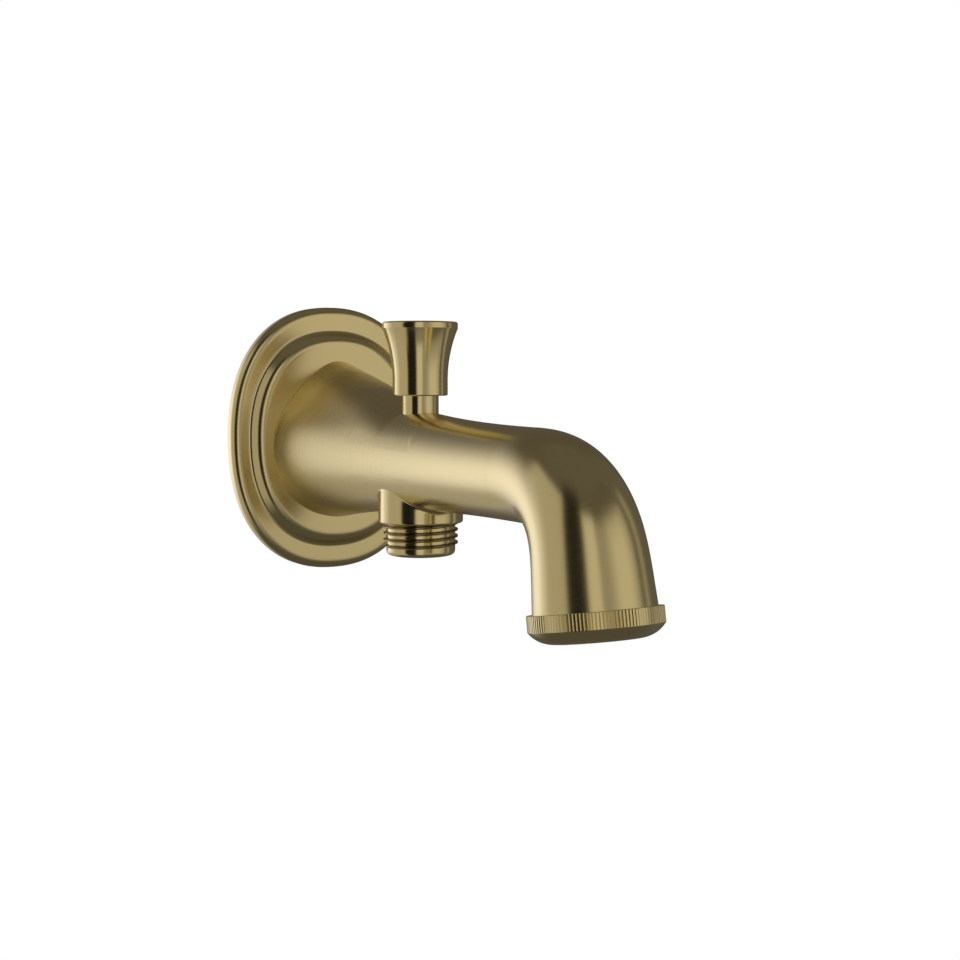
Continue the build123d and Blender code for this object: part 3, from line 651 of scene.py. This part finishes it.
# Knob: a turned skirt that flares in a hollow curve to a straight band
knob = {
    "skirtRadius": 7.66, "skirt": 4.3, "footChamfer": 0.3, "band": 1.8, "edgeRound": 0.6, "neckRoom": 5.43,
    "neckRoomTop": 19.6, "socketRadius": 2.53, "socketTop": 28, "flareSteps": 40, "columns": 160}
onDiverter = (0, -diverterReach, 0)


def knobProfile(s, bottom, top, radius):
    flareStart, flareEnd = bottom + s["skirt"], top - s["band"]
    outBy, upBy = radius - s["skirtRadius"], flareEnd - flareStart
    flareRadius = (outBy ** 2 + upBy ** 2) / (2 * outBy)  # an arc that starts upright and ends at the band
    swing = np.linspace(0, np.arcsin(upBy / flareRadius), s["flareSteps"])
    flare = np.stack([
        s["skirtRadius"] + flareRadius * (1 - np.cos(swing)), flareStart + flareRadius * np.sin(swing)], -1)
    inner = np.array([
        (0, s["socketTop"]), (s["socketRadius"], s["socketTop"]), (s["socketRadius"], s["neckRoomTop"]),
        (s["neckRoom"], s["neckRoomTop"]), (s["neckRoom"], bottom),
        (s["skirtRadius"] - s["footChamfer"], bottom), (s["skirtRadius"], bottom + s["footChamfer"])])
    crown = roundedPath([(radius, flareEnd, 0), (radius, top, s["edgeRound"]), (0, top, 0)])
    return np.concatenate([holdEnds(inner), flare, holdEnds(crown)[1:]])


knobRadius = (knobHigh[0] - knobLow[0]) / 2
knobShape = knobProfile(knob, knobLow[2], knobHigh[2], knobRadius)
knobPatch = turned(knobShape, onDiverter, columns=knob["columns"])
makePiece("pullKnob", [knobPatch], brightBrass, "diverter", "diverter_knob", 20)

# Neck: the bush that the rod runs in, with spanner flats and two O-ring grooves
neck = {
    "bore": 2.58, "grooveBottom": 5.6, "grooveTop": 7.0, "grooveRadius": 4.13, "innerGrooveTop": 14.0,
    "innerGrooveBottom": 12.6, "innerGrooveRadius": 3.78, "flats": 8.6, "flatsHeight": 3.0,
    "flatsStep": 0.01, "columns": 128}
neckLow, neckHigh = boxOf("diverter_gland")
neckRadius = (neckHigh[0] - neckLow[0]) / 2


def neckProfile(s, bottom, top, radius):
    flatsFoot = top - s["flatsHeight"]
    bore, groove, innerGroove = s["bore"], s["grooveRadius"], s["innerGrooveRadius"]
    return np.array([
        (bore, bottom), (radius, bottom), (radius, s["grooveBottom"]), (groove, s["grooveBottom"]),
        (groove, s["grooveTop"]), (radius, s["grooveTop"]), (radius, flatsFoot),
        (radius, flatsFoot + s["flatsStep"]), (radius, top), (bore, top), (bore, s["innerGrooveTop"]),
        (innerGroove, s["innerGrooveTop"]), (innerGroove, s["innerGrooveBottom"]),
        (bore, s["innerGrooveBottom"]), (bore, bottom)])


def neckFlats(radius, height, angle):
    cut = neck["flats"] / 2 / np.maximum(np.abs(np.sin(angle)), 1e-3)  # the sine is kept off zero
    flatsFoot = neckHigh[2] - neck["flatsHeight"] + neck["flatsStep"] / 2
    return np.where(height > flatsFoot, np.minimum(radius, cut), radius)


neckShape = holdEnds(neckProfile(neck, neckLow[2], neckHigh[2], neckRadius), hold=0.1)
neckPatch = turned(neckShape, onDiverter, columns=neck["columns"], carve=neckFlats)
makePiece("neckBush", [neckPatch], brightBrass, "spout", "diverter_gland")

# Rod from the plunger's nut up to the knob, threaded at its foot
rod = {
    "chamfer": 0.3, "threadTop": -14.8, "threadPitch": 0.8, "threadDepth": 0.3, "step": 0.1, "columns": 64}
rodLow, rodHigh = boxOf("diverter_spindle")
rodRadius = (rodHigh[0] - rodLow[0]) / 2
rodOutline = np.array([
    (0, rodLow[2]), (rodRadius - rod["chamfer"], rodLow[2]), (rodRadius, rodLow[2] + rod["chamfer"]),
    (rodRadius, rod["threadTop"]), (rodRadius, rodHigh[2] - rod["chamfer"]),
    (rodRadius - rod["chamfer"], rodHigh[2]), (0, rodHigh[2])])


def rodThread(radius, height, angle):
    cut = threadRadius(rodRadius, rod["threadDepth"], rod["threadPitch"], height, angle)
    return np.where(height < rod["threadTop"], np.minimum(radius, cut), radius)


rodPatch = turned(divided(rodOutline, rod["step"]), onDiverter, columns=rod["columns"], carve=rodThread)
makePiece("lifterRod", [rodPatch], rawBrass, "diverter", "diverter_spindle", 40)

# Hand-shower thread under the boss: a spigot with the lower seat on top, and a socket for a hexagon key; the
# last two numbers place the painted shade on the thread's ridges
hoseThread = {
    "bore": 5.2, "lipRadius": 6.2, "lip": 0.5, "spigotRadius": 9.0, "endRound": 1.4, "threadEnd": -27.9,
    "pitch": 1.814, "depth": 0.8, "start": -21.0, "rootShare": 0.4, "flankShare": 0.46, "hex": 12,
    "hexDepth": 7, "step": 0.09, "columns": 144, "paintedShadeAbove": 0.1, "paintedShadeRise": 0.3}
hoseLow, hoseHigh = boxOf("shower_nipple")
hoseRadius = (hoseHigh[0] - hoseLow[0]) / 2
hoseRoot = hoseRadius - hoseThread["depth"]


def hoseProfile(s, bottom, top, radius):
    spigotTop, shoulder, hexTop = top - s["lip"], boss["bottom"], bottom + s["hexDepth"]
    bore, spigot, key = s["bore"], s["spigotRadius"], s["hex"] / 2
    return roundedPath([
        (bore, top, 0), (s["lipRadius"], top, 0), (s["lipRadius"], spigotTop, 0), (spigot, spigotTop, 0),
        (spigot, shoulder, 0), (radius, shoulder, 0), (radius, s["threadEnd"], 0),
        (hoseRoot, s["threadEnd"], 0), (hoseRoot, bottom, s["endRound"]), (key, bottom, 0),
        (key, hexTop, 0), (bore, hexTop, 0), (bore, top, 0)])


# The thread and the key's socket, cut out of a plain profile
def cutThread(s, radius, thread, angle):
    key = np.isclose(radius, s["hex"] / 2)
    return np.where(key, hexRadius(s["hex"], angle), np.minimum(radius, thread))


def hoseCut(radius, height, angle):
    s = hoseThread
    thread = threadRadius(
        hoseRadius, s["depth"], s["pitch"], height, angle, s["start"], s["rootShare"], s["flankShare"])
    return cutThread(s, radius, thread, angle)


# Painted shade on the thread's ridges: a dark colour over most of each ridge, from just above the root, in
# place of dark reflections
paintedShadeStart = hoseRoot + hoseThread["paintedShadeAbove"]
shadedThreadBrassFinish = {
    **brightBrassFinish, "paintedShade": (0.16, 0.12, 0.07), "paintedShadeShare": 0.85, "threadReach": diverterReach,
    "paintedShadeRadii": (paintedShadeStart, paintedShadeStart + hoseThread["paintedShadeRise"])}
shadedThreadBrass = platedMetal("shadedThreadBrass", shadedThreadBrassFinish)
hoseShape = divided(hoseProfile(hoseThread, hoseLow[2], hoseHigh[2], hoseRadius), hoseThread["step"])
hosePatch = turned(hoseShape, onDiverter, columns=hoseThread["columns"], carve=hoseCut)
makePiece("hoseNipple", [hosePatch], shadedThreadBrass, "spout", "shower_nipple", 40)

# Wall nipple: two threads with a plain barrel between them, and a socket for a hexagon key behind the wall
wallThread = {
    "bore": 5.5, "barrelRadius": 9.4, "barrelStart": -0.5, "barrelEnd": -6.2, "chamfer": 1.0,
    "pitch": 1.814, "depth": 1.07, "hex": 12, "hexDepth": 8, "step": 0.13, "columns": 144}
tailLow, tailHigh = boxOf("inlet_nipple")
tailRadius = (tailHigh[0] - tailLow[0]) / 2


def tailProfile(s, front, back, radius):
    hexEnd, key, chamfer = back - s["hexDepth"], s["hex"] / 2, s["chamfer"]
    return np.array([
        (s["bore"], front), (radius - chamfer, front), (radius, front + chamfer), (radius, s["barrelEnd"]),
        (s["barrelRadius"], s["barrelEnd"]), (s["barrelRadius"], s["barrelStart"]),
        (radius, s["barrelStart"]), (radius, back - chamfer), (radius - chamfer, back), (key, back),
        (key, hexEnd), (s["bore"], hexEnd), (s["bore"], front)])


def tailCut(radius, height, angle):
    thread = threadRadius(tailRadius, wallThread["depth"], wallThread["pitch"], height, angle)
    return cutThread(wallThread, radius, thread, angle)


tailShape = divided(tailProfile(wallThread, tailLow[1], tailHigh[1], tailRadius), wallThread["step"])
tailPatch = turned(tailShape, (0, 0, 0), (0, 1, 0), columns=wallThread["columns"], carve=tailCut)
makePiece("wallNipple", [tailPatch], rawBrass, "spout", "inlet_nipple", 40)

# Aerator ring: a threaded spigot, a knurled wall and a domed lip, as radius and drop below the nose's end
aerator = {
    "bore": 10.6, "spigotRadius": 12.0, "spigot": 7.5, "radius": 15.77, "height": 3.85, "edge": 0.12,
    "rim": 0.06, "knurlStep": 0.02, "lipDepth": 3.1, "faceRadius": 9.8, "opening": 8.6,
    "lipThickness": 1.3, "domeSteps": 22, "teeth": 118, "grooveDepth": 0.19, "toothColumns": 8}
outletWay = np.array([0, -np.sin(lean), -np.cos(lean)])
outletCentre = np.array([0, -spout["outletReach"], spout["outletHeight"]])


def ringProfile(s):
    end, knurlEnd = s["height"] + s["lipDepth"], s["height"] - s["rim"]
    outBy = s["radius"] - s["faceRadius"]
    domeRadius = (outBy ** 2 + s["lipDepth"] ** 2) / (2 * s["lipDepth"])  # lies flat at the lip's face
    swing = np.linspace(np.arcsin(outBy / domeRadius), 0, s["domeSteps"])
    dome = np.stack([
        s["faceRadius"] + domeRadius * np.sin(swing), end - domeRadius * (1 - np.cos(swing))], -1)
    wall = np.array([
        (s["bore"], -s["spigot"]), (s["spigotRadius"], -s["spigot"]), (s["spigotRadius"], 0),
        (s["radius"] - s["edge"], 0), (s["radius"], s["edge"]), (s["radius"], knurlEnd),
        (s["radius"], knurlEnd + s["knurlStep"]), (s["radius"], s["height"])])
    lip = np.array([
        (s["opening"], end), (s["opening"], end - s["lipThickness"]), (s["bore"], end - s["lipThickness"]),
        (s["bore"], -s["spigot"])])
    return np.concatenate([holdEnds(wall, hold=0.05), dome[1:], holdEnds(lip, hold=0.08)])


# Straight knurl: a right-angled groove between each pair of teeth
def knurl(radius, drop, angle):
    pitch = fullTurn * aerator["radius"] / aerator["teeth"]
    place = angle / fullTurn * aerator["teeth"]
    fromGroove = np.abs(place - np.floor(place) - 0.5) * pitch
    cut = aerator["radius"] - np.maximum(aerator["grooveDepth"] - fromGroove, 0)
    onWall = (drop >= 0) & (drop < aerator["height"] - aerator["rim"] + aerator["knurlStep"] / 2)
    return np.where(onWall, np.minimum(radius, cut), radius)


ringColumns = aerator["teeth"] * aerator["toothColumns"]
ringPatch = turned(ringProfile(aerator), outletCentre, outletWay, columns=ringColumns, carve=knurl)
makePiece("knurledRing", [ringPatch], satinBrass, "spout", "aerator_shell", 28)

# Return spring: a round wire along a helix, centre + radius * (cos, sin) while the height climbs evenly
spring = {
    "radius": 3.85, "wire": 0.4, "bottom": -10.25, "top": 3.5, "turns": 6.5, "stepsPerTurn": 28, "sides": 12}


def springPatch(s):
    share = np.linspace(0, 1, int(s["turns"] * s["stepsPerTurn"]) + 1)
    share = np.concatenate([[0], share, [1]])  # the first and last ring close to a point
    wire = np.full(len(share), s["wire"])
    wire[[0, -1]] = 0
    swing = share * s["turns"] * fullTurn
    out = np.stack([np.cos(swing), np.sin(swing), swing * 0], -1)
    centre = s["radius"] * out + np.array(onDiverter)
    centre[:, 2] = s["bottom"] + (s["top"] - s["bottom"]) * share
    climb = (s["top"] - s["bottom"]) / (s["turns"] * fullTurn)
    ahead = np.stack([-s["radius"] * np.sin(swing), s["radius"] * np.cos(swing), climb + swing * 0], -1)
    ahead = ahead / np.linalg.norm(ahead, axis=1, keepdims=True)
    up = np.cross(ahead, out)
    turn = np.linspace(0, fullTurn, s["sides"], endpoint=False)[:, None]
    ring = np.cos(turn) * out[:, None] + np.sin(turn) * up[:, None]
    points = centre[:, None] + wire[:, None, None] * ring
    around = np.linspace(0, fullTurn, s["sides"] + 1) * s["wire"]
    return gridPatch(points, crossMap(swing * s["radius"], around))


coilPatch = springPatch(spring)
coil = makePiece("coilSpring", [coilPatch], springSteel, "spout", "return_spring", 60)
-diverterReach * mm
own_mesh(coil)

# The CAD parts that keep their own shape
keptNodes = {
    "aerator_insert": whitePlastic, "aerator_screen": strainerSteel, "aerator_gasket": blackRubber,
    "inlet_seal": blackRubber, "gland_seal": blackRubber, "spindle_seal": blackRubber,
    "shower_nipple_seal": blackRubber, "upper_valve_washer": blackRubber,
    "lower_valve_washer": blackRubber, "valve_plunger": innerBrass, "plunger_nut": innerBrass}
for name, material in keptNodes.items():
    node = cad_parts[name]
    node.data.materials.clear()
    node.data.materials.append(material)
print("CAD parts finished:", len(keptNodes))

# Camera at the photograph's place
view = {
    "place": (-0.176607, -0.413793, 0.020677), "down": 4.372, "turn": -29.3, "lens": 52.49, "sensor": 36.0,
    "near": 0.01}
camera = bpy.data.objects.new("camera", bpy.data.cameras.new("camera"))
camera.data.lens = view["lens"]
camera.data.sensor_width = view["sensor"]
camera.data.clip_start = view["near"]
camera.location = view["place"]
camera.rotation_euler = np.radians((90 - view["down"], 0, view["turn"]))
bpy.context.scene.collection.objects.link(camera)
bpy.context.scene.camera = camera


# 1 for rays that come from the camera, from a reflection or through glass
def seenRays(graph):
    direct = graph.add("ShaderNodeLightPath", output="Is Camera Ray")
    glossy = graph.add("ShaderNodeLightPath", output="Is Glossy Ray")
    through = graph.add("ShaderNodeLightPath", output="Is Transmission Ray")
    return graph.maths("MINIMUM", direct + glossy + through, 1.0)


# World: white to the eye and to the metal, and a plain soft light on everything else
softLight = 0.75
white = (1, 1, 1, 1)
world = bpy.data.worlds.new("studio")
bpy.context.scene.world = world
graph = Graph(world)
seen = seenRays(graph)
strength = seen + (1 - seen) * softLight
sky = graph.add("ShaderNodeBackground", {}, {"Color": white, "Strength": strength})
graph.finish(sky, "ShaderNodeOutputWorld")


# An open grid as an object: rows and columns of points with a map from 0 to 1
def openGrid(name, points, material):
    rows, columns = points.shape[:2]
    i, j = np.meshgrid(np.arange(rows - 1), np.arange(columns - 1), indexing="ij")
    start = (i * columns + j).ravel()
    quads = np.stack([start, start + columns, start + columns + 1, start + 1], 1)
    corners = np.stack([quads // columns / (rows - 1), quads % columns / (columns - 1)], -1)
    mesh = bpy.data.meshes.new(name)
    mesh.from_pydata(points.reshape(-1, 3).tolist(), [], quads.tolist())
    mesh.uv_layers.new(name="cardMap").data.foreach_set("uv", corners.astype(np.float32).ravel())
    mesh.materials.append(material)
    item = bpy.data.objects.new(name, mesh)
    bpy.context.scene.collection.objects.link(item)
    return item


# Floor: white to the eye, and pale under the soft light, so that it keeps the shadow
floor = {
    "height": -1.4, "half": 60.0, "cells": 8, "glow": 0.8, "paint": 0.9, "mottle": 0.01, "clouds": 1.5}


def floorPoints(s):
    edge = np.linspace(-s["half"], s["half"], s["cells"] + 1)
    x, y = np.meshgrid(edge, edge, indexing="ij")
    return np.stack([x, y, np.full(x.shape, s["height"])], -1)


def floorMaterial(s):
    material, graph = newGraph("paleFloor")
    solid = graph.add("ShaderNodeTexCoord", output="Object")
    clouds = graph.noise(solid, (s["clouds"],) * 3, detail=2.0)
    tint = graph.mixColour(clouds, (s["paint"] - s["mottle"],) * 3, (s["paint"] + s["mottle"],) * 3)
    paint = graph.add("ShaderNodeBsdfDiffuse", {}, {"Color": tint})
    whiteLevel = (1 - (1 - s["glow"]) * s["paint"] * softLight) / s["glow"]
    glow = graph.add("ShaderNodeEmission", {}, {"Color": white, "Strength": whiteLevel})
    share = seenRays(graph) * s["glow"]
    graph.finish(graph.add("ShaderNodeMixShader", {}, {0: share, 1: paint, 2: glow}))
    return material


openGrid("floor", floorPoints(floor), floorMaterial(floor))

# Studio cards that the metal mirrors: patches of a sphere round the spout, by the angle to the right of
# the camera and the angle above the horizon, each with one tone and soft edges; later cards stand in
# front of earlier ones
warmTint = (1.0, 0.95, 0.86)
coolTint = (0.97, 0.97, 1.1)
cards = {
    "roomCard": {"turn": (-180, 180), "climb": (-75, 75), "tone": 0.1, "tint": (1.0, 0.9, 0.8), "soft": 7},
    "leftCard": {"turn": (-112, -40), "climb": (-35, 50), "tone": 0.45, "tint": warmTint, "soft": 9},
    "softboxCard": {"turn": (-174, -88), "climb": (-42, 38), "tone": 1.2, "tint": coolTint, "soft": 38},
    "darkFlag": {"turn": (-55, -9), "climb": (-45, 75), "tone": 0.012, "tint": warmTint, "soft": 8},
    "frontCard": {"turn": (-16, 17), "climb": (-35, 46), "tone": 0.6, "tint": warmTint, "soft": 8},
    "middleCard": {"turn": (9, 95), "climb": (-35, 42), "tone": 0.31, "tint": warmTint, "soft": 8},
    "rightCard": {"turn": (24, 92), "climb": (-27, 48), "tone": 0.58, "tint": warmTint, "soft": 26},
    "rightDimCard": {"turn": (86, 150), "climb": (-70, 75), "tone": 0.12, "tint": warmTint, "soft": 8},
    "edgeCard": {"turn": (97, 116), "climb": (-40, 40), "tone": 0.33, "tint": warmTint, "soft": 8},
    "ceilingCard": {"turn": (-180, 180), "climb": (46, 90), "tone": 0.12, "tint": warmTint, "soft": 22},
    "lowLeftCard": {"turn": (-160, -40), "climb": (-62, -16), "tone": 0.42, "tint": warmTint, "soft": 14},
    "lowFrontCard": {"turn": (-20, 24), "climb": (-60, -22), "tone": 0.26, "tint": warmTint, "soft": 12},
    "lowRightCard": {"turn": (16, 150), "climb": (-60, -22), "tone": 0.12, "tint": warmTint, "soft": 14},
    "groundCard": {"turn": (-180, 180), "climb": (-90, -34), "tone": 0.09, "tint": warmTint, "soft": 20}}
studio = {"centre": (0, -0.078, -0.002), "distance": 1.3, "gap": 0.02, "grid": (49, 25)}
facing = np.radians(view["turn"])
towardCamera = np.degrees(np.arctan2(-np.cos(facing), np.sin(facing)))


# centre + distance * the direction at each angle round and each angle up
def cardPoints(turn, climb, distance):
    around = np.radians(towardCamera + np.linspace(*turn, studio["grid"][0]))
    up = np.radians(np.linspace(*climb, studio["grid"][1]))
    around, up = np.meshgrid(around, up, indexing="ij")
    out = np.stack([np.cos(up) * np.cos(around), np.cos(up) * np.sin(around), np.sin(up)], -1)
    return np.array(studio["centre"]) + out * distance


def cardMaterial(name, card):
    material, graph = newGraph(name)
    place = graph.add("ShaderNodeUVMap", {"uv_map": "cardMap"})
    across, upward = graph.axis(place, "X"), graph.axis(place, "Y")
    left, right = card["turn"]
    low, high = card["climb"]
    turnSoft, climbSoft = card["soft"] / (right - left), card["soft"] / (high - low)
    shown = 1.0
    if right - left < 360:
        shown = graph.rise(across, 0, turnSoft) * graph.rise(1 - across, 0, turnSoft)
    if low > -90:
        shown = graph.rise(upward, 0, climbSoft) * shown
    if high < 90:
        shown = graph.rise(1 - upward, 0, climbSoft) * shown
    clear = graph.add("ShaderNodeBsdfTransparent")
    glow = graph.add("ShaderNodeEmission", {}, {"Color": (*card["tint"], 1), "Strength": card["tone"]})
    graph.finish(graph.add("ShaderNodeMixShader", {}, {0: shown, 1: clear, 2: glow}))
    return material


for order, (name, card) in enumerate(cards.items()):
    distance = studio["distance"] - studio["gap"] * order
    item = openGrid(name, cardPoints(card["turn"], card["climb"], distance), cardMaterial(name, card))
    item.visible_camera = False
    item.visible_diffuse = False
    item.visible_shadow = False
print("studio set:", len(cards), "cards")

bpy.context.scene.view_settings.view_transform = "Standard"
bpy.context.view_layer.update()
